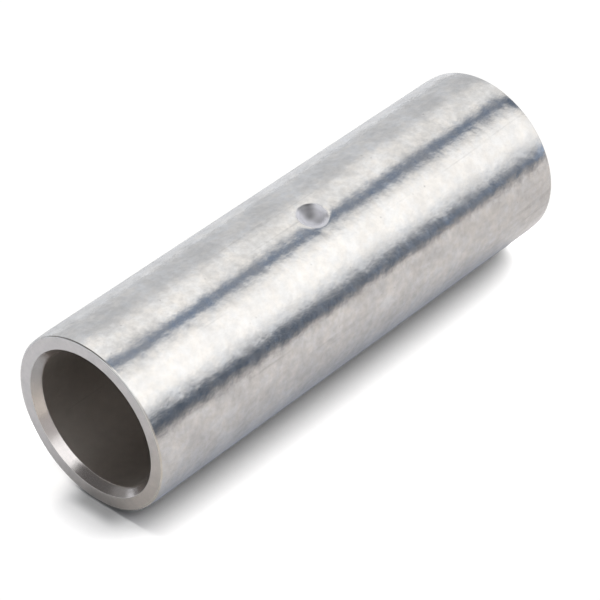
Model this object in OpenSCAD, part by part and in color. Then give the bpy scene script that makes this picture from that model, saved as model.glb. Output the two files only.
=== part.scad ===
// Splice sleeve that joins conductors end to end, with a punched stop at mid-length.
// The tube stands on one end with its axis along Z, and the recess of its stop faces -Y.

/* [Barrel] */
// Diameter of the bore that a conductor slides into
bore_d = 24.5; // [16:0.5:60]
// Thickness of the tube's wall
wall_t = 3.75; // [2.75:0.25:8]
// Length over both end faces
barrel_l = 98; // [50:1:200]

/* [Mouths] */
// Depth of the lead-in chamfer along the bore
lead_depth = 1.5; // [0.5:0.1:4]
// Width of the lead-in chamfer across the end face
lead_w = 1.2; // [0.3:0.1:2]
// Radius of the rounded outer edge of each end face
edge_r = 0.3; // [0.1:0.05:0.8]

/* [Throat] */
// Length of the stretch of bore that the punch draws in around the stop
throat_l = 12; // [10:0.5:20]
// How far the bore's wall comes in at the middle of that stretch
throat_drop = 0.25; // [0.2:0.05:0.6]

/* [Stop recess outside] */
// Depth of the punched recess below the outside of the tube
recess_depth = 1.5; // [1:0.1:2.6]
// Radius of the recess's round floor, which is the punch's nose
recess_nose_r = 2.4; // [1.6:0.1:3.2]
// Radius of the rounded lip between the floor and the outside of the tube
recess_lip_r = 1; // [0.5:0.1:1.6]
// Slope at which the lip meets the outside along the tube, in degrees
recess_lip_slope = 20; // [16:1:30]

/* [Stop bump inside] */
// Height of the bump above the throat's wall
bump_rise = 1.6; // [1:0.1:2.4]
// Radius of the bump's crown
bump_crown_r = 3; // [2:0.1:3.6]
// Radius of the blend at the bump's foot
bump_foot_r = 1.2; // [0.5:0.1:1.6]
// Width of the skirt that runs the foot into the wall
bump_skirt_w = 2; // [1:0.1:3]
// Slope of that skirt, in degrees
bump_skirt_slope = 8; // [6:1:15]

/* [Hidden] */
$fn = 180;
// Distance that a cut runs past the face it opens
overrun = 1;
// Distance between the centres of a punched form's two arcs, as a share of the distance at which they touch.
// Just under 1, it lets the arcs cross by a hair, so that one clean edge parts them.
touch_share = 0.999;
bore_r = bore_d / 2;
barrel_r = bore_r + wall_t;
stop_z = barrel_l / 2;
throat_r = bore_r - throat_drop;
// Radius of the arc through both ends of the throat and its narrowest point
throat_arc_r = (pow(throat_l / 2, 2) + pow(throat_drop, 2)) / (2 * throat_drop);
lead_slope = lead_w / lead_depth;
// Slope at which the lip's arc ends above the outside, as a share of the slope at which it meets the outside
lip_end_share = 0.5;
lip_end_slope = recess_lip_slope * lip_end_share;
lip_end_rise = recess_lip_r * (cos(lip_end_slope) - cos(recess_lip_slope));

// Places its 2D children at the bottom end of a half section, and their mirror image at the top
module both_ends() {
    children();
    translate([0, barrel_l]) mirror([0, 1]) children();
}

// Lead-in chamfer of a mouth, in the half section
module lead_in_cut() {
    polygon([
        [0, -overrun],
        [bore_r + lead_w + overrun * lead_slope, -overrun],
        [bore_r, lead_depth],
        [0, lead_depth]
    ]);
}

// What the rounding takes off the outer corner of an end, in the half section
module edge_cut() {
    difference() {
        translate([barrel_r - edge_r, -overrun]) square([edge_r + overrun, edge_r + overrun]);
        translate([barrel_r - edge_r, edge_r]) circle(r = edge_r);
    }
}

// Space inside the bore, in the half section, narrowing gently where the wall is drawn in
module bore_cut() {
    difference() {
        translate([0, -overrun]) square([bore_r, barrel_l + 2 * overrun]);
        translate([throat_r + throat_arc_r, stop_z]) circle(r = throat_arc_r);
    }
}

// Tube with its bore, chamfered mouths and rounded outer edges, turned in one piece
module barrel() {
    rotate_extrude()
        difference() {
            square([barrel_r, barrel_l]);
            bore_cut();
            both_ends() {
                lead_in_cut();
                edge_cut();
            }
        }
}

// Round form that a punch leaves, turned about its own axis and pointing up.
// A crown arc runs into a foot arc, and a sloping skirt runs tangent from the foot down and outwards.
// The foot arc ends at height zero, and the form goes on below the skirt by the given root.
module punched_form(rise, crown_r, foot_r, skirt_w, skirt_slope, root) {
    crown_y = rise - crown_r;
    foot_y = foot_r * cos(skirt_slope);
    foot_x = sqrt(pow(touch_share * (crown_r + foot_r), 2) - pow(crown_y - foot_y, 2));
    skirt_x = foot_x - foot_r * sin(skirt_slope);
    end_x = skirt_x + skirt_w;
    end_y = -skirt_w * tan(skirt_slope);
    base_y = end_y - root;
    // The core starts below the crown's centre, and what reaches below the base is trimmed
    core_y = min(end_y, crown_y) - root;
    rotate_extrude()
        intersection() {
            translate([0, base_y]) square([end_x, rise - base_y]);
            union() {
                translate([0, crown_y]) circle(r = crown_r);
                difference() {
                    polygon([
                        [0, core_y],
                        [end_x, core_y],
                        [end_x, end_y],
                        [skirt_x, 0],
                        [foot_x, foot_y],
                        [0, crown_y]
                    ]);
                    translate([foot_x, foot_y]) circle(r = foot_r);
                }
            }
        }
}

// Punched recess of the stop, as the space that it takes out of the wall.
// Its lip's arc and skirt end clear of the tube, so that the lip alone meets the outside.
module recess_cut() {
    translate([0, -barrel_r - lip_end_rise, stop_z])
        rotate([-90, 0, 0])
            punched_form(
                recess_depth + lip_end_rise, recess_nose_r, recess_lip_r,
                overrun, lip_end_slope, overrun
            );
}

// Bump that the punch raises on the bore's wall, which a conductor's end meets
module stop_bump() {
    translate([0, -throat_r, stop_z])
        rotate([-90, 0, 0])
            punched_form(
                bump_rise, bump_crown_r, bump_foot_r,
                bump_skirt_w, bump_skirt_slope, wall_t / 2
            );
}

module sleeve() {
    color([0.80, 0.80, 0.78])
        difference() {
            union() {
                barrel();
                stop_bump();
            }
            recess_cut();
        }
}

sleeve();
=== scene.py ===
"""Butt splice connector: a tin plated copper sleeve with its pressed centre stop, on a pale table."""

import math

import bmesh
import bpy
import numpy as np
from mathutils import Matrix, Vector


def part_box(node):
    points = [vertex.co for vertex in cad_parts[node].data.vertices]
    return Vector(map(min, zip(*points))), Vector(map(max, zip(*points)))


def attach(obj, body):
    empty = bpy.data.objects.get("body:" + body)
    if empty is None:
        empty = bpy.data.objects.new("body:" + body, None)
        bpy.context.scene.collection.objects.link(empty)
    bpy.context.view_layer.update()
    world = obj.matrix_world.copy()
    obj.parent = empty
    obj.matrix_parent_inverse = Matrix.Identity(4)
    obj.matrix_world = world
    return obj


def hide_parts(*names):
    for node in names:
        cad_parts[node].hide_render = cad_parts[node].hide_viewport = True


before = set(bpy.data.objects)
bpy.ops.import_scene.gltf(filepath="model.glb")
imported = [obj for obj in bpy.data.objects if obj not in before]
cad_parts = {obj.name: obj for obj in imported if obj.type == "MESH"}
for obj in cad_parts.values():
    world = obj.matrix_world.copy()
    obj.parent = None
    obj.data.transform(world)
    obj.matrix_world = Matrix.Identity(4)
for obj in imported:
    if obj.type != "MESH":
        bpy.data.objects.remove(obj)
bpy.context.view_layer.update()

bl_info = {
    "name": "Butt Splice Sleeve",
    "version": (1, 0, 0),
    "blender": (4, 5, 0),
    "location": "View3D > Sidebar > Splice",
    "description": "Builds a tin plated splice sleeve and the table that it is shown on",
    "category": "Add Mesh",
}

SLEEVE_LOW, SLEEVE_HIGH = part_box("sleeve")
MM = 0.001

# Numbers of the finishes on the mesh's faces
BARREL, FACE, LEAD, BORE = range(4)

COLUMNS_IN_PATCH = 32
COLUMNS_ROUND_REST = 224
PATCH_HALF = 6.0 * MM
BLEND_RINGS = 4
ARC_STEPS = 6
BARREL_ROWS, ROLL_ROWS, FACE_ROWS, CORNER_ROWS, BORE_ROWS, THROAT_ROWS = 22, 14, 5, 5, 18, 6
CROWN_RINGS, FOOT_RINGS, SKIRT_RINGS = 14, 10, 8

# Power of the curve in which the barrel rolls in towards each end
ROLL_POWER = 2.2
# Radius of the small corner between the end face and the lead-in
LEAD_CORNER = 0.12 * MM
# Gaps between the section's corners and the rows beside them, which keep the flats flat
EDGE_GAP = 0.06 * MM
FACE_GAP = 0.3 * MM
CORNER_GAP = 0.05 * MM
BORE_GAPS = (0.04 * MM, 0.2 * MM, 0.6 * MM)
# Shares of the lead-in's depth at which it has rows
LEAD_SHARES = (0.1, 0.25, 0.5, 0.75, 0.92)
# How softly a pressed form runs into the round wall, how far each form's rings reach, and the stop's skirt
PRESS_BLEND = 0.12 * MM
RECESS_REACH = 4.4 * MM
STOP_REACH = 3.7 * MM
STOP_SKIRT_SLOPE = math.radians(8)

# Kinds of socket in the node groups, and the socket that takes a place on the sleeve
FLOAT = "NodeSocketFloat"
VECTOR = "NodeSocketVector"
PLACE = ("Place", VECTOR, (0.0, 0.0, 0.0))

# Added to the distance from the recess on the side of the sleeve that has none, in mm
FAR_AWAY = 100.0
BLOTCH_STEEPNESS = 2.2
# Scratches: how much sparser they lie than the fine lines, and the noise at which they start and are full
SCRATCH_DENSITY = 0.37
SCRATCH_RANGE = (0.66, 0.74)
# Specks: how far they wander off their grid in mm, how rare large ones are, and the share that is solid
SPECK_WANDER = (0.5, 0.5, 0.5)
SPECK_RARITY = 4.0
SPECK_CORE = 0.45
# Even strip of the barrel: the cosines at which it starts and is full, how far it evens, and to what dullness
EVEN_STRIP = (0.95, 0.985)
EVEN_STRENGTH = 0.52
EVEN_MOTTLE = 0.45
# Distances from the recess's middle, in mm, over which the barrel's plating gives way to the recess's colour,
# which carries painted shade and a painted reflection
RECESS_RIM = (2.95, 2.55)
# Dabs of painted shade in the recess: place across and along the sleeve from its middle, reach, all in mm,
# and strength
RECESS_SHADE_DABS = (
    (0.95, -0.6, 1.8, 0.6),
    (2.65, -1.5, 1.8, 0.85),
    (2.6, 0.2, 1.4, 0.5),
    (-0.9, -0.7, 1.2, 0.25),
    (-1.7, -2.3, 1.1, 0.4),
)
# Distance from a dab's middle, in mm, within which its painted shade is at full strength
SHADE_DAB_CORE = 0.1
# Brightness that the bore keeps where it is dullest
BORE_SHADE = 0.72

BLACK = (0.0, 0.0, 0.0, 1.0)
# Tints of the light panels
WHITE = (1.0, 1.0, 1.0)
IVORY = (1.013, 1.0, 0.984)
COOL = (0.975, 0.99, 1.02)
WARM = (1.01, 0.995, 0.98)
ROSY = (1.03, 0.985, 0.97)
SLATE = (0.77, 1.0, 1.40)

# Turn of all the rings round the sleeve
RING_TURN = math.radians(10.644)
# Rings of light panels that the metal mirrors: first and last angle in degrees, brightness and tint.
# The far half of the barrel mirrors the deep ring, its near half the low one and the lead-in the high one.
DEEP_RING = (
    (-180, -84, 0.40, COOL),
    (-79, -76, 0.43, SLATE),
    (-67, -65, 0.98, COOL),
    (-48, -24, 1.18, IVORY),
    (-16, -12, 1.02, IVORY),
    (1.2, 12.0, 0.15, SLATE),
    (29, 42, 0.97, IVORY),
    (65, 92, 0.73, COOL),
    (104, 180, 0.75, COOL),
)
LOW_RING = (
    (-180, -84, 0.38, COOL),
    (-77, -68, 0.10, SLATE),
    (-56.5, -55.5, 0.93, COOL),
    (-42, -16, 1.40, IVORY),
    (-4, -2, 1.10, IVORY),
    (8, 11, 0.23, SLATE),
    (25, 43, 1.12, IVORY),
    (66, 92, 0.72, COOL),
    (104, 180, 0.75, COOL),
)
HIGH_RING = (
    (-180, -52, 0.50, ROSY),
    (-28, 4, 1.35, WHITE),
    (17, 70, 0.115, ROSY),
    (84, 104, 0.25, WARM),
    (128, 180, 0.65, COOL),
)
# Heights of a direction, as its z, over which one ring gives way to the next, and the last to the ceiling
DEEP_FADE = (-0.56, -0.80)
HIGH_FADE = (-0.15, 0.2)
CEILING_FADE = (0.76, 0.92)
CEILING = (0.95, 0.95, 0.95, 1.0)

# Stretches of the table top: the way they are measured, the mouth that they count from, which is 1 for the
# near one, -1 for the far one and 0 for the middle, and where they begin and are complete, in mm. Across,
# they count away from the camera. Those called clear lie clear of the sleeve's shadow.
TABLE_STRETCHES = {
    "far side": ("across", 0, -10, 10),
    "horizon": ("across", 0, -90, -330),
    "in front": ("across", 0, -8, -24),
    "close by": ("across", 0, -130, -70),
    "past the far end": ("along", -1, 20, -15),
    # Painted shadow on the table round the near mouth
    "nook inside the mouth": ("along", 1, -7, -3),
    "nook at the mouth": ("along", 1, 3.8, 1.2),
    "nook before the foot": ("across", 0, -8.5, -4),
    "nook behind the foot": ("across", 0, 4.5, 0.5),
    "clear far side": ("across", 0, 17, 26),
    "clear near side": ("across", 0, -26, -36),
    "clear near end": ("along", 1, 16, 26),
    "clear far end": ("along", -1, -3, -10),
    "at the near end": ("along", 1, -4, 0),
    "beside the foot": ("across", 0, 2, 9),
    "past the mouth": ("along", 1, -6, 2),
    "behind the foot": ("across", 0, -5, 4),
}
# Painted shade: shares of its mirrored light that the table loses at the horizon and in the pool, and the
# strength of the shadow painted by the near mouth, which also darkens the table's own colour
HORIZON_LOSS = 0.6
POOL_LOSS = 0.14
PAINTED_SHADOW_LOSS = 0.43
# Share of light that the table's paint throws back, and the shade of its darkest grain
PALENESS = 0.9
GRAIN_SHADE = 0.97


def length_setting(name, description, default, least=0.0):
    """A length that a user can change."""
    return bpy.props.FloatProperty(
        name=name, description=description, default=default, min=least, precision=5, unit="LENGTH"
    )


def angle_setting(name, description, degrees):
    """An angle that a user can change."""
    return bpy.props.FloatProperty(
        name=name, description=description, default=math.radians(degrees), subtype="ANGLE"
    )


def level_setting(name, description, default, least=0.0):
    """A brightness or other plain number that a user can change."""
    return bpy.props.FloatProperty(name=name, description=description, default=default, min=least)


def colour_setting(name, description, red, green, blue):
    """A colour that a user can change."""
    return bpy.props.FloatVectorProperty(
        name=name,
        description=description,
        default=(red, green, blue, 1.0),
        subtype="COLOR",
        size=4,
        min=0.0,
        max=1.0,
    )


class SleeveSettings(bpy.types.PropertyGroup):
    """Sizes and finish of the sleeve. Its length and outside diameter come from the solid in the frame."""

    length: length_setting(
        "Length", "Length of the sleeve from end face to end face", SLEEVE_HIGH.z - SLEEVE_LOW.z, least=0.02
    )
    outside_diameter: length_setting(
        "Outside diameter", "Diameter of the plated barrel", SLEEVE_HIGH.x - SLEEVE_LOW.x, least=0.01
    )
    bore_diameter: length_setting(
        "Bore diameter", "Diameter of the bore that takes the wire", 24.5 * MM, least=0.005
    )
    lead_depth: length_setting(
        "Lead-in depth", "How far the tapered lead-in reaches into the bore", 1.5 * MM, least=0.0003
    )
    lead_width: length_setting(
        "Lead-in width", "Width of the tapered lead-in on the end face", 1.2 * MM, least=0.0002
    )
    edge_radius: length_setting(
        "Edge radius", "Radius left on the outer edge of each end face", 0.3 * MM, least=0.0001
    )
    end_drop: length_setting(
        "End drop", "How far the barrel is rolled in at each end by cutting it off", 0.14 * MM
    )
    end_reach: length_setting(
        "End reach", "Length of barrel that is rolled in at each end", 2.8 * MM, least=0.001
    )
    throat_length: length_setting(
        "Throat length", "Length of the slightly narrower middle of the bore", 12.0 * MM, least=0.002
    )
    throat_drop: length_setting(
        "Throat drop", "How much smaller than the bore the throat is, on the radius", 0.25 * MM
    )
    recess_depth: length_setting(
        "Recess depth", "Depth of the punch mark in the outside of the barrel", 1.5 * MM, least=0.0005
    )
    recess_nose_radius: length_setting(
        "Recess nose radius", "Radius of the punch nose that made the recess's floor", 2.4 * MM, least=0.0005
    )
    recess_lip_radius: length_setting(
        "Recess lip radius", "Radius of the lip round the recess", 1.0 * MM, least=0.0002
    )
    recess_skirt_drop: length_setting(
        "Recess skirt drop", "Depth of the lip below the outside of the barrel", 0.15 * MM
    )
    recess_skirt_slope: angle_setting("Recess skirt slope", "Slope of the drawn-in metal round the lip", 12)
    bump_rise: length_setting("Bump rise", "Height of the wire stop inside the bore", 1.6 * MM, least=0.0005)
    bump_crown_radius: length_setting(
        "Bump crown radius", "Radius of the crown of the wire stop", 3.0 * MM, least=0.0005
    )
    bump_foot_radius: length_setting(
        "Bump foot radius", "Radius of the hollow round the foot of the wire stop", 1.2 * MM, least=0.0002
    )
    plating_colour: colour_setting("Plating colour", "Colour of the tin plating", 0.815, 0.82, 0.825)
    plating_warm: colour_setting(
        "Warmer plating", "Colour of the plating where it is a shade warmer", 0.845, 0.82, 0.785
    )
    plating_stain: colour_setting(
        "Plating stain", "Colour of the duller blotches in the plating", 0.55, 0.545, 0.54
    )
    # The recess's metal, a shade brighter and bluer than the plating: the blue is a painted reflection
    recess_metal_and_reflection: colour_setting(
        "Recess sheen", "Colour of the metal that the punch has rubbed bright", 0.83, 0.83, 0.865
    )
    # Painted shade: the near black that the dabs in the recess are mixed towards
    recess_shade_colour: colour_setting(
        "Scuff colour", "Colour of the dull scuffs in the punched recess", 0.05, 0.05, 0.05
    )
    face_colour: colour_setting(
        "End face colour", "Colour of the sawn and plated end faces", 0.768, 0.728, 0.716
    )
    bore_colour: colour_setting(
        "Bore colour", "Colour of the dull plating inside the bore", 0.72, 0.68, 0.645
    )
    even_side: angle_setting(
        "Even side", "Direction round the barrel in which its plating is most even, from its front", -27.3
    )
    plating_roughness: bpy.props.FloatProperty(
        name="Plating roughness",
        description="Roughness of the cleanest plating",
        default=0.11,
        min=0.02,
        max=1.0,
        subtype="FACTOR",
    )


class StageSettings(bpy.types.PropertyGroup):
    """Camera, table and light."""

    camera_azimuth: angle_setting(
        "Camera azimuth", "Where the camera stands round the sleeve, from its front towards its right", -27.30
    )
    camera_elevation: angle_setting(
        "Camera elevation", "How far the camera stands above the middle of the sleeve", 35.508
    )
    camera_roll: angle_setting(
        "Camera roll", "Turn of the camera about its own view, which lays the sleeve down in it", -124.934
    )
    camera_distance: length_setting(
        "Camera distance", "Distance from the camera to the point that it looks at", 484.25 * MM, least=0.05
    )
    camera_aim: bpy.props.FloatVectorProperty(
        name="Camera aim",
        description="The point that the camera looks at",
        default=(-2.221 * MM, 2.055 * MM, 50.133 * MM),
        size=3,
        precision=5,
        subtype="TRANSLATION",
        unit="LENGTH",
    )
    camera_lens: level_setting(
        "Camera lens", "Focal length in millimetres on a sensor 36 mm wide", 173.14, least=20.0
    )
    table_azimuth: angle_setting(
        "Table side", "The side of the sleeve that faces away from the table that it rests on", 12.444
    )
    table_width: length_setting("Table width", "Width of the table top", 3.0, least=0.5)
    table_colour: colour_setting("Table colour", "Colour of the table top", 0.91, 0.90, 0.89)
    mirror_near: colour_setting(
        "Mirrored near table", "Table on the camera's side, as the metal mirrors it", 0.204, 0.1842, 0.162
    )
    mirror_far: colour_setting(
        "Mirrored far table", "Table behind the sleeve, as the metal mirrors it", 0.1865, 0.1905, 0.199
    )
    mirror_even: colour_setting(
        "Mirrored even glow", "Glow behind the sleeve and past its mouth, in the metal", 0.207, 0.206, 0.20
    )
    mirror_cool: colour_setting(
        "Mirrored cool glow", "Cooler glow on the camera's side, in the metal", 0.183, 0.2128, 0.268
    )
    backdrop_level: level_setting(
        "Backdrop brightness", "Brightness of the white room that the camera sees past the table", 1.05
    )
    fill_level: level_setting(
        "Fill light", "Brightness of the even light that reaches the table from all round", 0.46
    )
    fill_colour: colour_setting(
        "Fill colour", "Colour of the even light, which is the colour of the shadow", 0.93, 0.95, 1.0
    )
    key_power: level_setting("Key light", "Power of the wide soft light above the table, in watts", 35.0)
    key_width: length_setting("Key light width", "Width of the soft light", 1.53, least=0.01)
    key_height: length_setting("Key light height", "Its height above the table", 0.6, least=0.1)
    key_offset: bpy.props.FloatVectorProperty(
        name="Key light offset",
        description="How far the soft light stands off, across the sleeve and along it",
        default=(0.11, -0.40),
        size=2,
        subtype="TRANSLATION",
        unit="LENGTH",
    )


def feed(tree, socket, value):
    """Gives a socket a value, or links it to the output that it takes one from."""
    if isinstance(value, bpy.types.NodeSocket):
        tree.links.new(value, socket)
    else:
        socket.default_value = value


def place(tree, kind, sockets=None, **settings):
    """Adds a shader node to a tree, with its settings and what feeds its sockets."""
    node = tree.nodes.new("ShaderNode" + kind)
    for name, value in settings.items():
        setattr(node, name, value)
    for key, value in (sockets or {}).items():
        feed(tree, node.inputs[key], value)
    return node


def calc(tree, operation, first, second=0.0, third=0.0, clamp=False):
    """One step of arithmetic on values."""
    sockets = {0: first, 1: second, 2: third}
    node = place(tree, "Math", sockets, operation=operation, use_clamp=clamp)
    return node.outputs[0]


def vector_calc(tree, operation, sockets):
    """One step of arithmetic on vectors, as its node."""
    return place(tree, "VectorMath", sockets, operation=operation)


def ease(tree, value, low, high, most=1.0):
    """Rises from 0 to the most as a value goes from one end of a range to the other, with soft ends."""
    sockets = {"Value": value, "From Min": low, "From Max": high, "To Max": most}
    node = place(tree, "MapRange", sockets, interpolation_type="SMOOTHSTEP")
    return node.outputs["Result"]


def mix_colour(tree, share, first, second):
    """Mixes two colours by a share."""
    node = place(tree, "Mix", data_type="RGBA")
    for key, value in (("Factor_Float", share), ("A_Color", first), ("B_Color", second)):
        socket = next(s for s in node.inputs if s.identifier == key)
        feed(tree, socket, value)
    return next(s for s in node.outputs if s.identifier == "Result_Color")


def shaded(colour, share):
    """A colour with its light taken down to a share."""
    return [part * share for part in colour[:3]] + [1.0]


def lay_out(tree):
    """Sets a tree's nodes in columns, in the order in which they feed each other."""
    depth = {}
    for _ in range(len(tree.nodes)):
        for link in tree.links:
            behind = depth.get(link.to_node.name, 0) + 1
            if behind > depth.get(link.from_node.name, 0):
                depth[link.from_node.name] = behind
    rows = {}
    for node in tree.nodes:
        column = depth.get(node.name, 0)
        row = rows.get(column, 0)
        rows[column] = row + 1
        node.location = (-240 * column, -220 * row)


def mix_shader(tree, share, first, second):
    """Mixes two shaders by a share."""
    return place(tree, "MixShader", {0: share, 1: first.outputs[0], 2: second.outputs[0]})


def bare_tree(owner):
    """The node tree of a new material or world, emptied."""
    owner.use_nodes = True
    owner.node_tree.nodes.clear()
    return owner.node_tree


def show(tree, kind, shader):
    """Links a shader to the output of a material or world, and lays the tree out."""
    output = place(tree, kind)
    tree.links.new(shader.outputs[0], output.inputs["Surface"])
    lay_out(tree)


def new_group(name, inputs, outputs):
    """Starts a shader node group and returns its tree, its inputs' node and its outputs' node."""
    tree = bpy.data.node_groups.new(name, "ShaderNodeTree")
    for label, kind, default in inputs:
        socket = tree.interface.new_socket(label, in_out="INPUT", socket_type=kind)
        socket.default_value = default
    for label, kind in outputs:
        tree.interface.new_socket(label, in_out="OUTPUT", socket_type=kind)
    return tree, tree.nodes.new("NodeGroupInput"), tree.nodes.new("NodeGroupOutput")


def use_group(tree, group, sockets):
    """Places a node group in a tree with its own values."""
    return place(tree, "Group", sockets, node_tree=group)


def sleeve_place_group():
    """Where a point is on the sleeve, in millimetres, and its radius from the axis."""
    tree, _, result = new_group("place on sleeve", [], [("Place", VECTOR), ("Radius", FLOAT)])
    spot = place(tree, "TexCoord").outputs["Object"]
    in_mm = vector_calc(tree, "SCALE", {0: spot, "Scale": 1 / MM}).outputs[0]
    parts = place(tree, "SeparateXYZ", {0: in_mm})
    level = place(tree, "CombineXYZ", {"X": parts.outputs["X"], "Y": parts.outputs["Y"]})
    radius = vector_calc(tree, "LENGTH", {0: level.outputs[0]}).outputs["Value"]
    tree.links.new(in_mm, result.inputs["Place"])
    tree.links.new(radius, result.inputs["Radius"])
    lay_out(tree)
    return tree


def blotch_group():
    """Cloudy blotches, with a fine grain in them, as a mask from 0 to 1."""
    inputs = [PLACE, ("Blotch Size", FLOAT, 3.0), ("Grain", FLOAT, 0.5), ("Contrast", FLOAT, 1.0)]
    tree, given, result = new_group("blotches", inputs, [("Mask", FLOAT), ("Height", FLOAT)])
    density = calc(tree, "DIVIDE", 1.0, given.outputs["Blotch Size"])
    sockets = {"Vector": given.outputs["Place"], "Scale": density, "Detail": 5.0}
    sockets["Roughness"] = given.outputs["Grain"]
    cloud = place(tree, "TexNoise", sockets).outputs["Fac"]
    centred = calc(tree, "SUBTRACT", cloud, 0.5)
    steepness = calc(tree, "MULTIPLY", given.outputs["Contrast"], BLOTCH_STEEPNESS)
    steeper = calc(tree, "MULTIPLY", centred, steepness)
    mask = calc(tree, "ADD", steeper, 0.5, clamp=True)
    tree.links.new(mask, result.inputs["Mask"])
    tree.links.new(centred, result.inputs["Height"])
    lay_out(tree)
    return tree


def tool_mark_group():
    """Fine tool marks: lines that run the way in which Stretch is small."""
    inputs = [PLACE, ("Stretch", VECTOR, (1.0, 1.0, 0.02)), ("Spacing", FLOAT, 0.3)]
    tree, given, result = new_group("tool marks", inputs, [("Height", FLOAT), ("Scratch", FLOAT)])
    sockets = {0: given.outputs["Place"], 1: given.outputs["Stretch"]}
    drawn = vector_calc(tree, "MULTIPLY", sockets).outputs[0]
    density = calc(tree, "DIVIDE", 1.0, given.outputs["Spacing"])
    sockets = {"Vector": drawn, "Scale": density, "Detail": 3.0, "Roughness": 0.6}
    lines = place(tree, "TexNoise", sockets).outputs["Fac"]
    wider = calc(tree, "MULTIPLY", density, SCRATCH_DENSITY)
    sparse = place(tree, "TexNoise", {"Vector": drawn, "Scale": wider, "Detail": 2.0}).outputs["Fac"]
    tree.links.new(calc(tree, "SUBTRACT", lines, 0.5), result.inputs["Height"])
    tree.links.new(ease(tree, sparse, *SCRATCH_RANGE), result.inputs["Scratch"])
    lay_out(tree)
    return tree


def speck_group():
    """Small scattered specks and nicks of mixed sizes, as a mask that is 1 inside each."""
    inputs = [PLACE, ("Spacing", FLOAT, 2.0), ("Largest", FLOAT, 0.2)]
    tree, given, result = new_group("specks", inputs, [("Mask", FLOAT)])
    sockets = {"Vector": given.outputs["Place"], "Scale": 1.3, "Detail": 2.0}
    wander = place(tree, "TexNoise", sockets).outputs["Color"]
    sockets = {0: wander, 1: SPECK_WANDER, 2: given.outputs["Place"]}
    shaken = vector_calc(tree, "MULTIPLY_ADD", sockets).outputs[0]
    density = calc(tree, "DIVIDE", 1.0, given.outputs["Spacing"])
    cells = place(tree, "TexVoronoi", {"Vector": shaken, "Scale": density})
    away = cells.outputs["Distance"]
    chance = place(tree, "SeparateColor", {0: cells.outputs["Color"]}).outputs["Red"]
    size = calc(tree, "MULTIPLY", calc(tree, "POWER", chance, SPECK_RARITY), given.outputs["Largest"])
    edge = calc(tree, "MULTIPLY", size, SPECK_CORE)
    sockets = {"Value": away, "From Min": edge, "From Max": size, "To Min": 1.0, "To Max": 0.0}
    spot = place(tree, "MapRange", sockets).outputs["Result"]
    tree.links.new(spot, result.inputs["Mask"])
    lay_out(tree)
    return tree


def shared_groups():
    """The node groups that the sleeve's finishes share, each built once."""
    return {
        "place": sleeve_place_group(),
        "blotches": blotch_group(),
        "tool marks": tool_mark_group(),
        "specks": speck_group(),
    }


def start_finish(name, groups):
    """A new material with its tree and its Principled BSDF, and a point's place and radius on the sleeve."""
    finish = bpy.data.materials.new(name)
    tree = bare_tree(finish)
    shader = place(tree, "BsdfPrincipled", {"Metallic": 1.0})
    where = use_group(tree, groups["place"], {})
    return finish, tree, shader, where.outputs["Place"], where.outputs["Radius"]


def end_finish(finish, shader, colour, roughness, height):
    """Gives a finish its colour, its roughness and its relief, which is a height in millimetres."""
    tree = finish.node_tree
    relief = place(tree, "Bump", {"Height": height, "Distance": MM, "Strength": 1.0})
    for name, value in (("Base Color", colour), ("Roughness", roughness), ("Normal", relief.outputs[0])):
        tree.links.new(value, shader.inputs[name])
    show(tree, "OutputMaterial", shader)
    return finish


def total(tree, *terms):
    """Adds up pairs of a value and its weight."""
    value, weight = terms[0]
    result = calc(tree, "MULTIPLY", value, weight)
    for value, weight in terms[1:]:
        result = calc(tree, "MULTIPLY_ADD", value, weight, result)
    return result


def blotches(tree, groups, spot, size, grain=0.5, contrast=1.0):
    """Mask and height of blotches of a size in millimetres."""
    sockets = {"Place": spot, "Blotch Size": size, "Grain": grain, "Contrast": contrast}
    outputs = use_group(tree, groups["blotches"], sockets).outputs
    return outputs["Mask"], outputs["Height"]


def specks(tree, groups, spot, spacing, largest):
    """Mask of specks, by the spacing between them and the largest one as a share of it."""
    sockets = {"Place": spot, "Spacing": spacing, "Largest": largest}
    return use_group(tree, groups["specks"], sockets).outputs["Mask"]


def tool_marks(tree, groups, spot, stretch, spacing):
    """Scratches and height of tool marks, stretched along the axis in which the stretch is small."""
    sockets = {"Place": spot, "Stretch": stretch, "Spacing": spacing}
    outputs = use_group(tree, groups["tool marks"], sockets).outputs
    return outputs["Scratch"], outputs["Height"]


def cutting_rings(tree, groups, radius, spacing):
    """Tool marks round the mouth, left by the tool that cut it."""
    ring = place(tree, "CombineXYZ", {"X": radius}).outputs[0]
    return tool_marks(tree, groups, ring, (1.0, 0.0, 0.0), spacing)


def punched(tree, spot, half_length):
    """A place seen along the punch, from the middle of the recess, and how far inside the recess it is."""
    parts = place(tree, "SeparateXYZ", {0: spot})
    over_middle = calc(tree, "SUBTRACT", parts.outputs["Z"], half_length)
    flat = place(tree, "CombineXYZ", {"X": parts.outputs["X"], "Y": over_middle}).outputs[0]
    from_middle = vector_calc(tree, "LENGTH", {0: flat}).outputs["Value"]
    at_back = calc(tree, "GREATER_THAN", parts.outputs["Y"], 0.0)
    from_recess = calc(tree, "MULTIPLY_ADD", at_back, FAR_AWAY, from_middle)
    return flat, ease(tree, from_recess, *RECESS_RIM)


def recess_metal_and_shade(tree, flat, sleeve):
    """Colour of the punched recess: its metal tinted blue as a painted reflection, with dabs of painted shade
    on its walls.
    """
    colour = sleeve.recess_metal_and_reflection
    for across, along, reach, strength in RECESS_SHADE_DABS:
        away = vector_calc(tree, "DISTANCE", {0: flat, 1: (across, along, 0.0)}).outputs["Value"]
        # Each dab mixes painted shade into the recess's colour
        shade_dab = ease(tree, away, reach, SHADE_DAB_CORE, most=strength)
        colour = mix_colour(tree, shade_dab, colour, sleeve.recess_shade_colour)
    return colour


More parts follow.
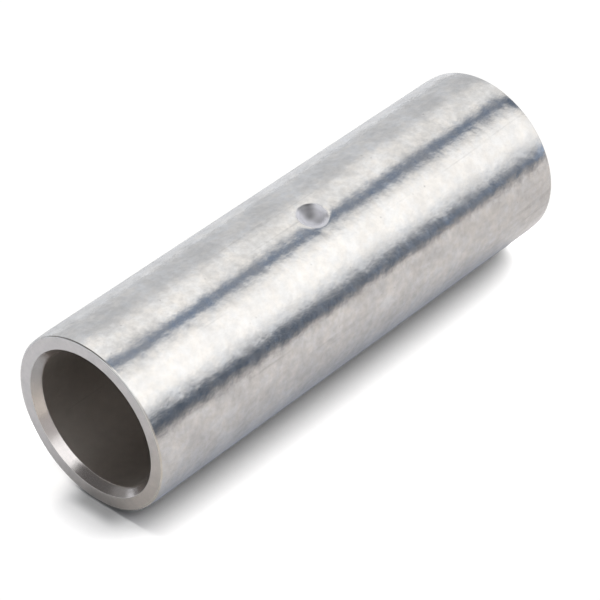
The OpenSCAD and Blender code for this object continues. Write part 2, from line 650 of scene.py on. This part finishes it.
def evened(tree, mottled, spot, radius, sleeve):
    """Takes the mottling down along the strip of barrel that is plated most evenly."""
    sockets = {0: spot, 1: side_vector(sleeve.even_side)}
    outward = vector_calc(tree, "DOT_PRODUCT", sockets).outputs["Value"]
    toward = calc(tree, "DIVIDE", outward, radius)
    calm = ease(tree, toward, *EVEN_STRIP, most=EVEN_STRENGTH)
    return calc(tree, "MULTIPLY_ADD", calc(tree, "SUBTRACT", EVEN_MOTTLE, mottled), calm, mottled)


def barrel_finish(groups, sleeve):
    """Bright tin plating on drawn tube: soft waves, cloudy blotches, faint draw lines, specks and nicks."""
    finish, tree, shader, spot, radius = start_finish("tin plated barrel", groups)
    _, waves = blotches(tree, groups, spot, 2.6, grain=0.35)
    cloudy, clouds = blotches(tree, groups, spot, 1.2, grain=0.62, contrast=1.3)
    wide, _ = blotches(tree, groups, spot, 6.0, grain=0.55, contrast=1.6)
    shades, _ = blotches(tree, groups, spot, 1.9, contrast=1.8)
    scratched, lines = tool_marks(tree, groups, spot, (1.0, 1.0, 0.03), spacing=0.5)
    grit = specks(tree, groups, spot, spacing=1.6, largest=0.16)
    nicks = specks(tree, groups, spot, spacing=5.5, largest=0.11)
    mottled = evened(tree, total(tree, (cloudy, 0.45), (wide, 0.45)), spot, radius, sleeve)
    dull = total(tree, (mottled, 1.0), (grit, 0.6), (scratched, 0.25))
    plating = mix_colour(tree, shades, sleeve.plating_colour, sleeve.plating_warm)
    stained = mix_colour(tree, dull, plating, sleeve.plating_stain)
    flat, pressed = punched(tree, spot, sleeve.length / 2 / MM)
    # The recess takes its own colour, with painted shade and a painted reflection in it
    colour = mix_colour(tree, pressed, stained, recess_metal_and_shade(tree, flat, sleeve))
    added = total(tree, (dull, 0.15), (nicks, 0.2), (pressed, 0.6))
    rough = calc(tree, "ADD", added, sleeve.plating_roughness)
    height = total(tree, (waves, 0.085), (clouds, 0.028), (lines, 0.0016), (grit, 0.004), (nicks, -0.02))
    return end_finish(finish, shader, colour, rough, height)


def face_finish(groups, sleeve):
    """Sawn and lightly plated end face, of a duller, paler metal."""
    finish, tree, shader, spot, radius = start_finish("sawn end face", groups)
    scratched, rings = cutting_rings(tree, groups, radius, spacing=0.22)
    cloudy, clouds = blotches(tree, groups, spot, 1.8, grain=0.6)
    pits = specks(tree, groups, spot, spacing=1.2, largest=0.14)
    dull = total(tree, (cloudy, 0.55), (scratched, 0.3), (pits, 0.5))
    colour = mix_colour(tree, dull, sleeve.face_colour, sleeve.plating_stain)
    rough = calc(tree, "MULTIPLY_ADD", dull, 0.15, 0.33)
    height = total(tree, (rings, 0.012), (clouds, 0.015), (pits, -0.006))
    return end_finish(finish, shader, colour, rough, height)


def lead_finish(groups, sleeve):
    """Bright turned metal of the lead-in."""
    finish, tree, shader, spot, radius = start_finish("turned lead-in", groups)
    _, rings = cutting_rings(tree, groups, radius, spacing=0.16)
    cloudy, clouds = blotches(tree, groups, spot, 1.3, grain=0.6)
    pits = specks(tree, groups, spot, spacing=1.1, largest=0.15)
    dull = total(tree, (cloudy, 0.4), (pits, 0.5))
    colour = mix_colour(tree, dull, sleeve.face_colour, sleeve.plating_stain)
    rough = calc(tree, "MULTIPLY_ADD", dull, 0.18, 0.17)
    height = total(tree, (rings, 0.006), (clouds, 0.012), (pits, -0.006))
    return end_finish(finish, shader, colour, rough, height)


def bore_finish(groups, sleeve):
    """Dull, thin plating inside the bore, with faint draw lines along it."""
    finish, tree, shader, spot, _ = start_finish("dull bore", groups)
    cloudy, clouds = blotches(tree, groups, spot, 4.0, grain=0.6)
    scratched, lines = tool_marks(tree, groups, spot, (1.0, 1.0, 0.04), spacing=0.35)
    grit = specks(tree, groups, spot, spacing=2.2, largest=0.12)
    dull = total(tree, (cloudy, 0.6), (scratched, 0.3), (grit, 0.4))
    colour = mix_colour(tree, dull, sleeve.bore_colour, shaded(sleeve.bore_colour, BORE_SHADE))
    rough = calc(tree, "MULTIPLY_ADD", dull, 0.15, 0.42)
    height = total(tree, (lines, 0.008), (clouds, 0.03), (grit, 0.006))
    return end_finish(finish, shader, colour, rough, height)


def pressed_profile(rise, crown_radius, foot_radius, skirt_slope):
    """Height of a punched form by distance from its middle: round crown, hollow foot and falling skirt."""
    crown_y = rise - crown_radius
    foot_y = foot_radius * math.cos(skirt_slope)
    foot_x = math.sqrt((crown_radius + foot_radius) ** 2 - (crown_y - foot_y) ** 2)
    turn_x = foot_x * crown_radius / (crown_radius + foot_radius)
    skirt_x = foot_x - foot_radius * math.sin(skirt_slope)

    def height(distance):
        on_crown = crown_y + np.sqrt(np.maximum(crown_radius**2 - distance**2, 0))
        on_foot = foot_y - np.sqrt(np.maximum(foot_radius**2 - (distance - foot_x) ** 2, 0))
        on_skirt = -(distance - skirt_x) * math.tan(skirt_slope)
        return np.where(distance < turn_x, on_crown, np.where(distance < skirt_x, on_foot, on_skirt))

    return height, turn_x, skirt_x


def soft_max(first, second, blend):
    """The larger of two heights, with the corner between them rounded."""
    share = np.clip(0.5 + 0.5 * (first - second) / blend, 0, 1)
    return second + (first - second) * share + blend * share * (1 - share)


def pressed_radii(turn_x, skirt_x, outer):
    """Ring radii of a pressed patch, closest together where the form bends most."""
    crown = np.linspace(0, turn_x, CROWN_RINGS + 1)[1:]
    turns = np.linspace(0, math.pi / 2, FOOT_RINGS + 1)[1:]
    foot = turn_x + (skirt_x - turn_x) * (1 - np.cos(turns))
    skirt = np.linspace(skirt_x, outer, SKIRT_RINGS + 1)[1:]
    return np.concatenate([crown, foot, skirt])


def wall_section(sleeve):
    """Closed half section of the wall, as rows of radius, height and finish."""
    outer = sleeve.outside_diameter / 2
    bore = sleeve.bore_diameter / 2
    half = sleeve.length / 2
    edge = sleeve.edge_radius
    reach = sleeve.end_reach
    rim = outer - sleeve.end_drop
    patch_rows = COLUMNS_IN_PATCH // 2 + 1

    rows = [(outer, z, BARREL) for z in np.linspace(0, PATCH_HALF, patch_rows)]
    rows += [(outer, z, BARREL) for z in np.linspace(PATCH_HALF, half - reach, BARREL_ROWS)[1:]]
    for share in np.linspace(0, 1, ROLL_ROWS)[1:-1]:
        rolled = sleeve.end_drop * share**ROLL_POWER
        rows.append((outer - rolled, half - reach + (reach - edge) * share, BARREL))
    for turn in np.linspace(0, math.pi / 2, ARC_STEPS + 2):
        rows.append((rim - edge + edge * math.cos(turn), half - edge + edge * math.sin(turn), BARREL))

    lead = bore + sleeve.lead_width
    bend = math.pi / 2 - math.atan2(sleeve.lead_width, sleeve.lead_depth)
    tangent = LEAD_CORNER * math.tan(bend / 2)
    rows.append((rim - edge - EDGE_GAP, half, FACE))
    rows += [(r, half, FACE) for r in np.linspace(rim - edge - FACE_GAP, lead + FACE_GAP, FACE_ROWS)]
    rows.append((lead + LEAD_CORNER + CORNER_GAP, half, FACE))
    for turn in np.linspace(0, bend, CORNER_ROWS):
        radius = lead + tangent - LEAD_CORNER * math.sin(turn)
        rows.append((radius, half - LEAD_CORNER + LEAD_CORNER * math.cos(turn), FACE))
    for share in LEAD_SHARES:
        rows.append((lead - sleeve.lead_width * share, half - sleeve.lead_depth * share, LEAD))

    mouth_end = half - sleeve.lead_depth
    throat_half = sleeve.throat_length / 2
    first, second, third = BORE_GAPS
    rows += [(bore, mouth_end - first, LEAD), (bore, mouth_end - second, BORE)]
    rows += [(bore, z, BORE) for z in np.linspace(mouth_end - third, throat_half, BORE_ROWS)]
    patch_inside = inner_patch_half(sleeve)
    inside = np.linspace(throat_half, patch_inside, THROAT_ROWS)[1:-1]
    for z in np.concatenate([inside, np.linspace(patch_inside, 0, patch_rows)]):
        rows.append((throat_radius(sleeve, z), z, BORE))
    return rows


def inner_patch_half(sleeve):
    """Half the length of bore that the wire stop's patch takes up."""
    return PATCH_HALF * sleeve.bore_diameter / sleeve.outside_diameter


def throat_radius(sleeve, along):
    """Radius of the bore at a distance from the middle, where it narrows in one shallow arc."""
    half = sleeve.throat_length / 2
    drop = sleeve.throat_drop
    arc = (half**2 + drop**2) / (2 * drop)
    crown = sleeve.bore_diameter / 2 - drop
    inside = np.minimum(np.abs(along), half)
    return crown + arc - np.sqrt(arc**2 - inside**2)


def column_angles(sleeve):
    """Angles of the sleeve's columns, from its front. The first ones cross the patch."""
    outer = sleeve.outside_diameter / 2
    across = np.linspace(-PATCH_HALF, PATCH_HALF, COLUMNS_IN_PATCH + 1)
    in_patch = np.arcsin(across / outer)
    rest = np.linspace(in_patch[-1], in_patch[0] + 2 * math.pi, COLUMNS_ROUND_REST + 1)[1:-1]
    return np.concatenate([in_patch, rest])


def pressed_patch(mesh, loop, radii, surface, middle_z, finish):
    """Fills a hole in the wall with rings that follow a pressed form.

    loop is the hole's vertices in order, and surface gives y by x and height off the middle.
    """
    corners = np.array([(v.co.x, v.co.z - middle_z) for v in loop])
    angles = np.arctan2(corners[:, 1], corners[:, 0])
    spokes = np.stack([np.cos(angles), np.sin(angles)], axis=1)
    rings = []
    for step in range(1, BLEND_RINGS + 1):
        share = step / (BLEND_RINGS + 1)
        rings.append(corners * (1 - share) + spokes * radii[-1] * share)
    rings += [spokes * radius for radius in reversed(radii)]
    outside = list(loop)
    for points in rings:
        heights = surface(points[:, 0], points[:, 1])
        inside = [mesh.verts.new((x, y, z + middle_z)) for (x, z), y in zip(points, heights)]
        for k in range(len(loop)):
            after = (k + 1) % len(loop)
            face = mesh.faces.new((outside[k], outside[after], inside[after], inside[k]))
            face.material_index = finish
        outside = inside
    lowest = float(surface(np.zeros(1), np.zeros(1))[0])
    centre = mesh.verts.new((0, lowest, middle_z))
    for k in range(len(loop)):
        face = mesh.faces.new((outside[k], outside[(k + 1) % len(loop)], centre))
        face.material_index = finish


def patch_loop(rows, first_row):
    """The vertices round the hole that a patch fills, in order."""
    last = COLUMNS_IN_PATCH
    last_row = first_row + last
    loop = [rows[first_row][c] for c in range(last)]
    loop += [rows[r][last] for r in range(first_row, last_row)]
    loop += [rows[last_row][c] for c in range(last, 0, -1)]
    loop += [rows[r][0] for r in range(last_row, first_row, -1)]
    return loop


def recess_surface(sleeve):
    """Outside of the barrel with the punched recess in it: y by x and height off the middle."""
    outer = sleeve.outside_diameter / 2
    drop = sleeve.recess_skirt_drop
    height, turn_x, skirt_x = pressed_profile(
        sleeve.recess_depth - drop,
        sleeve.recess_nose_radius,
        sleeve.recess_lip_radius,
        sleeve.recess_skirt_slope,
    )

    def surface(x, z):
        barrel = -np.sqrt(outer**2 - x**2)
        recess = drop - outer + height(np.hypot(x, z))
        return soft_max(recess, barrel, PRESS_BLEND)

    return surface, pressed_radii(turn_x, skirt_x, RECESS_REACH)


def stop_surface(sleeve):
    """Inside of the throat with the wire stop that the punch raised: y by x and height off the middle."""
    throat = sleeve.bore_diameter / 2 - sleeve.throat_drop
    height, turn_x, skirt_x = pressed_profile(
        sleeve.bump_rise, sleeve.bump_crown_radius, sleeve.bump_foot_radius, STOP_SKIRT_SLOPE
    )

    def surface(x, z):
        wall = -np.sqrt(throat_radius(sleeve, z) ** 2 - x**2)
        stop = -throat + height(np.hypot(x, z))
        return soft_max(stop, wall, PRESS_BLEND)

    return surface, pressed_radii(turn_x, skirt_x, STOP_REACH)


def sleeve_mesh(sleeve):
    """The whole sleeve as one closed mesh."""
    half_section = wall_section(sleeve)
    middle_z = sleeve.length / 2
    lower = [(r, -z, finish) for r, z, finish in reversed(half_section[1:-1])]
    section = half_section + lower
    angles = column_angles(sleeve)
    mesh = bmesh.new()
    rows = []
    for radius, along, _ in section:
        ring = [(radius * math.sin(a), -radius * math.cos(a), middle_z + along) for a in angles]
        rows.append([mesh.verts.new(point) for point in ring])
    in_patch = COLUMNS_IN_PATCH // 2
    middle_inside = len(half_section) - 1
    count = len(section)
    for r in range(count):
        after = (r + 1) % count
        upper = r < middle_inside
        finish = section[after if upper else r][2]
        on_outside = r < in_patch or r >= count - in_patch
        on_inside = middle_inside - in_patch <= r < middle_inside + in_patch
        for c in range(len(angles)):
            if c < COLUMNS_IN_PATCH and (on_outside or on_inside):
                continue
            beside = (c + 1) % len(angles)
            face = mesh.faces.new((rows[r][c], rows[r][beside], rows[after][beside], rows[after][c]))
            face.material_index = finish
    turned = rows[-in_patch:] + rows[: in_patch + 1]
    surface, radii = recess_surface(sleeve)
    pressed_patch(mesh, patch_loop(turned, 0), radii, surface, middle_z, BARREL)
    surface, radii = stop_surface(sleeve)
    first = middle_inside - in_patch
    pressed_patch(mesh, patch_loop(rows, first), radii, surface, middle_z, BORE)
    loose = [v for v in mesh.verts if not v.link_faces]
    bmesh.ops.delete(mesh, geom=loose, context="VERTS")
    bmesh.ops.recalc_face_normals(mesh, faces=mesh.faces)
    for face in mesh.faces:
        face.smooth = True
    return mesh


class SPLICE_OT_sleeve(bpy.types.Operator):
    """Build the sleeve with its punched recess, wire stop, rounded ends and lead-ins"""

    bl_idname = "splice.sleeve"
    bl_label = "Build Sleeve"
    bl_options = {"REGISTER", "UNDO"}

    def execute(self, context):
        sleeve = context.scene.splice_sleeve
        built = sleeve_mesh(sleeve)
        data = bpy.data.meshes.new("sleeve_shell")
        built.to_mesh(data)
        built.free()
        groups = shared_groups()
        for finish in (barrel_finish, face_finish, lead_finish, bore_finish):
            data.materials.append(finish(groups, sleeve))
        piece = bpy.data.objects.new("sleeve_shell", data)
        context.scene.collection.objects.link(piece)
        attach(piece, "root")
        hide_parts("sleeve")
        return {"FINISHED"}


def side_vector(azimuth):
    """Level direction from the sleeve's axis, by its angle from the front."""
    return Vector((math.sin(azimuth), -math.cos(azimuth), 0))


def add_camera(scene, stage):
    """The camera, at the angle of the photograph."""
    level_right = Vector((math.cos(stage.camera_azimuth), math.sin(stage.camera_azimuth), 0))
    back = side_vector(stage.camera_azimuth) * math.cos(stage.camera_elevation)
    back.z = math.sin(stage.camera_elevation)
    level_up = back.cross(level_right)
    turn = Matrix((level_right, level_up, back)).transposed()
    turn = turn @ Matrix.Rotation(stage.camera_roll, 3, "Z")
    data = bpy.data.cameras.new("camera")
    data.sensor_width = 36
    data.lens = stage.camera_lens
    data.clip_start = 0.01
    data.clip_end = 20
    camera = bpy.data.objects.new("camera", data)
    place_at = Vector(stage.camera_aim) + back * stage.camera_distance
    camera.matrix_world = Matrix.Translation(place_at) @ turn.to_4x4()
    scene.collection.objects.link(camera)
    scene.camera = camera


def table_finish(stage, half_length):
    """Pale matt table top that can't be seen from behind.

    The camera sees it brightly lit. The metal mirrors it toned down, as part of a larger and darker room.
    """
    finish = bpy.data.materials.new("pale table")
    tree = bare_tree(finish)
    path = place(tree, "LightPath")
    first_bounce = calc(tree, "LESS_THAN", path.outputs["Diffuse Depth"], 0.5)
    mirrored = path.outputs["Is Glossy Ray"]
    spot = place(tree, "TexCoord").outputs["Object"]
    grain = place(tree, "TexNoise", {"Vector": spot, "Scale": 900.0, "Detail": 3.0}).outputs["Fac"]
    tint = mix_colour(tree, grain, stage.table_colour, shaded(stage.table_colour, GRAIN_SHADE))
    measured = {
        way: vector_calc(tree, "DOT_PRODUCT", {0: spot, 1: axis}).outputs["Value"]
        for way, axis in zip(("across", "along"), table_axes(stage))
    }

    def stretch(name):
        """How far a point is into a named stretch of the table, from 0 to 1."""
        way, mouth, first, last = TABLE_STRETCHES[name]
        start = mouth * half_length
        return ease(tree, measured[way], start + first * MM, start + last * MM)

    def both(first, second):
        return calc(tree, "MULTIPLY", first, second)

    def either(first, second):
        return calc(tree, "MAXIMUM", first, second)

    def less(share, loss):
        return calc(tree, "MULTIPLY_ADD", share, -loss, 1.0)

    # Painted shade in the metal's reflections of the table: towards the horizon, and in a pool past the far
    # end on the camera's side
    pool = both(stretch("past the far end"), both(stretch("in front"), stretch("close by")))
    kept = both(less(stretch("horizon"), HORIZON_LOSS), less(pool, POOL_LOSS))
    kept = both(kept, first_bounce)
    # Painted shadow by the near mouth, which darkens the table and the light that the metal mirrors off it
    painted_shadow = PAINTED_SHADOW_LOSS
    for side in ("inside the mouth", "at the mouth", "before the foot", "behind the foot"):
        painted_shadow = both(stretch("nook " + side), painted_shadow)
    kept = both(kept, calc(tree, "SUBTRACT", 1.0, painted_shadow))
    tint = mix_colour(tree, painted_shadow, tint, BLACK)
    sided = mix_colour(tree, stretch("far side"), stage.mirror_near, stage.mirror_far)
    toned = mix_colour(tree, kept, BLACK, sided)
    matt = place(tree, "BsdfDiffuse", {"Color": mix_colour(tree, mirrored, tint, toned)})
    glow = place(tree, "Emission", {"Color": tint, "Strength": stage.backdrop_level / PALENESS})
    beyond = both(stretch("at the near end"), stretch("beside the foot"))
    for side in ("far side", "near side", "near end", "far end"):
        beyond = either(beyond, stretch("clear " + side))
    seen_beyond = both(beyond, path.outputs["Is Camera Ray"])
    lit = mix_shader(tree, seen_beyond, matt, glow)
    even_floor = either(stretch("past the mouth"), stretch("behind the foot"))
    floor = mix_colour(tree, even_floor, stage.mirror_cool, stage.mirror_even)
    sheen = place(tree, "Emission", {"Color": floor, "Strength": both(mirrored, kept)})
    front = place(tree, "AddShader", {0: lit.outputs[0], 1: sheen.outputs[0]})
    clear = place(tree, "BsdfTransparent")
    behind = place(tree, "NewGeometry").outputs["Backfacing"]
    show(tree, "OutputMaterial", mix_shader(tree, behind, front, clear))
    return finish


def table_axes(stage):
    """The table's two directions: across the sleeve and along it."""
    along = Vector((0, 0, 1))
    return along.cross(side_vector(stage.table_azimuth)), along


def table_middle(stage, sleeve):
    """The point of the table under the middle of the sleeve."""
    middle = side_vector(stage.table_azimuth) * (-sleeve.outside_diameter / 2)
    middle.z = sleeve.length / 2
    return middle


def add_table(scene, stage, sleeve):
    """The table top that the sleeve lies on, square to the way it faces."""
    across, along = table_axes(stage)
    half = stage.table_width / 2
    mesh = bmesh.new()
    corners = []
    for side, height in ((-half, -half), (half, -half), (half, half), (-half, half)):
        corners.append(mesh.verts.new(across * side + along * height))
    mesh.faces.new(corners)
    data = bpy.data.meshes.new("table_top")
    mesh.to_mesh(data)
    mesh.free()
    data.materials.append(table_finish(stage, half_length=sleeve.length / 2))
    table = bpy.data.objects.new("table_top", data)
    table.location = table_middle(stage, sleeve)
    if data.polygons[0].normal.dot(side_vector(stage.table_azimuth)) < 0:
        data.flip_normals()
    scene.collection.objects.link(table)


def add_key_light(scene, stage, sleeve):
    """The soft light straight above the table, which draws the sleeve's shadow close round it."""
    data = bpy.data.lights.new("key_light", "AREA")
    data.shape = "DISK"
    data.size = stage.key_width
    data.energy = stage.key_power
    light = bpy.data.objects.new("key_light", data)
    aim = table_middle(stage, sleeve)
    across, along = table_axes(stage)
    offset = across * stage.key_offset[0] + along * stage.key_offset[1]
    light.location = aim + side_vector(stage.table_azimuth) * stage.key_height + offset
    light.rotation_euler = (light.location - aim).to_track_quat("Z", "Y").to_euler()
    light.visible_glossy = False
    light.visible_camera = False
    scene.collection.objects.link(light)


def light_ring(tree, side, panels):
    """A ring of light panels round the sleeve, as a colour."""
    ramp = place(tree, "ValToRGB", {"Fac": side})
    bar = ramp.color_ramp
    bar.interpolation = "EASE"
    stops = []
    for first, last, level, tint in panels:
        colour = [level * part for part in tint] + [1.0]
        stops += [(first, colour), (last, colour)]
    for k, (angle, colour) in enumerate(stops):
        spot = (angle + 180) / 360
        mark = bar.elements[k] if k < 2 else bar.elements.new(spot)
        mark.position = spot
        mark.color = colour
    return ramp.outputs["Color"]


def add_room(scene, stage):
    """The room: white to the camera, even light for the table, and rings of panels for the metal."""
    world = bpy.data.worlds.new("studio room")
    scene.world = world
    tree = bare_tree(world)
    toward = place(tree, "TexCoord").outputs["Generated"]
    parts = place(tree, "SeparateXYZ", {0: toward})
    forward = calc(tree, "MULTIPLY", parts.outputs["Y"], -1.0)
    angle = calc(tree, "ARCTAN2", parts.outputs["X"], forward)
    turned = 0.5 - (stage.table_azimuth - RING_TURN) / math.tau
    side = calc(tree, "MULTIPLY_ADD", angle, 0.5 / math.pi, turned)
    deep, low, high = [light_ring(tree, side, panels) for panels in (DEEP_RING, LOW_RING, HIGH_RING)]
    up = parts.outputs["Z"]
    sockets = {"Value": up, "From Min": DEEP_FADE[0], "From Max": DEEP_FADE[1]}
    dip = place(tree, "MapRange", sockets).outputs["Result"]
    below = mix_colour(tree, dip, low, deep)
    beside = mix_colour(tree, ease(tree, up, *HIGH_FADE), below, high)
    mirrored = mix_colour(tree, ease(tree, up, *CEILING_FADE), beside, CEILING)
    path = place(tree, "LightPath")
    seen = place(tree, "Background", {"Color": (*WHITE, 1.0), "Strength": stage.backdrop_level})
    even = place(tree, "Background", {"Color": stage.fill_colour, "Strength": stage.fill_level})
    first_bounce = calc(tree, "LESS_THAN", path.outputs["Diffuse Depth"], 0.5)
    rings = place(tree, "Background", {"Color": mirrored, "Strength": first_bounce})
    lit = mix_shader(tree, path.outputs["Is Glossy Ray"], even, rings)
    show(tree, "OutputWorld", mix_shader(tree, path.outputs["Is Camera Ray"], lit, seen))


class SPLICE_OT_stage(bpy.types.Operator):
    """Build the table, the lights and the camera"""

    bl_idname = "splice.stage"
    bl_label = "Build Stage"
    bl_options = {"REGISTER", "UNDO"}

    def execute(self, context):
        scene = context.scene
        stage = scene.splice_stage
        sleeve = scene.splice_sleeve
        scene.view_settings.view_transform = "Standard"
        add_camera(scene, stage)
        add_table(scene, stage, sleeve)
        add_key_light(scene, stage, sleeve)
        add_room(scene, stage)
        return {"FINISHED"}


class SPLICE_PT_panel(bpy.types.Panel):
    """Lists the pieces of the splice sleeve and their settings"""

    bl_idname = "SPLICE_PT_panel"
    bl_label = "Splice Sleeve"
    bl_space_type = "VIEW_3D"
    bl_region_type = "UI"
    bl_category = "Splice"

    def draw(self, context):
        scene = context.scene
        for operator, settings in (
            (SPLICE_OT_stage, scene.splice_stage),
            (SPLICE_OT_sleeve, scene.splice_sleeve),
        ):
            box = self.layout.box()
            box.operator(operator.bl_idname)
            for name in settings.__annotations__:
                box.prop(settings, name)


CLASSES = (SleeveSettings, StageSettings, SPLICE_OT_sleeve, SPLICE_OT_stage, SPLICE_PT_panel)


def register():
    for one in CLASSES:
        bpy.utils.register_class(one)
    bpy.types.Scene.splice_sleeve = bpy.props.PointerProperty(type=SleeveSettings)
    bpy.types.Scene.splice_stage = bpy.props.PointerProperty(type=StageSettings)


def unregister():
    del bpy.types.Scene.splice_stage
    del bpy.types.Scene.splice_sleeve
    for one in reversed(CLASSES):
        bpy.utils.unregister_class(one)


def main():
    register()
    bpy.ops.splice.stage()
    bpy.ops.splice.sleeve()


if __name__ == "__main__":
    main()
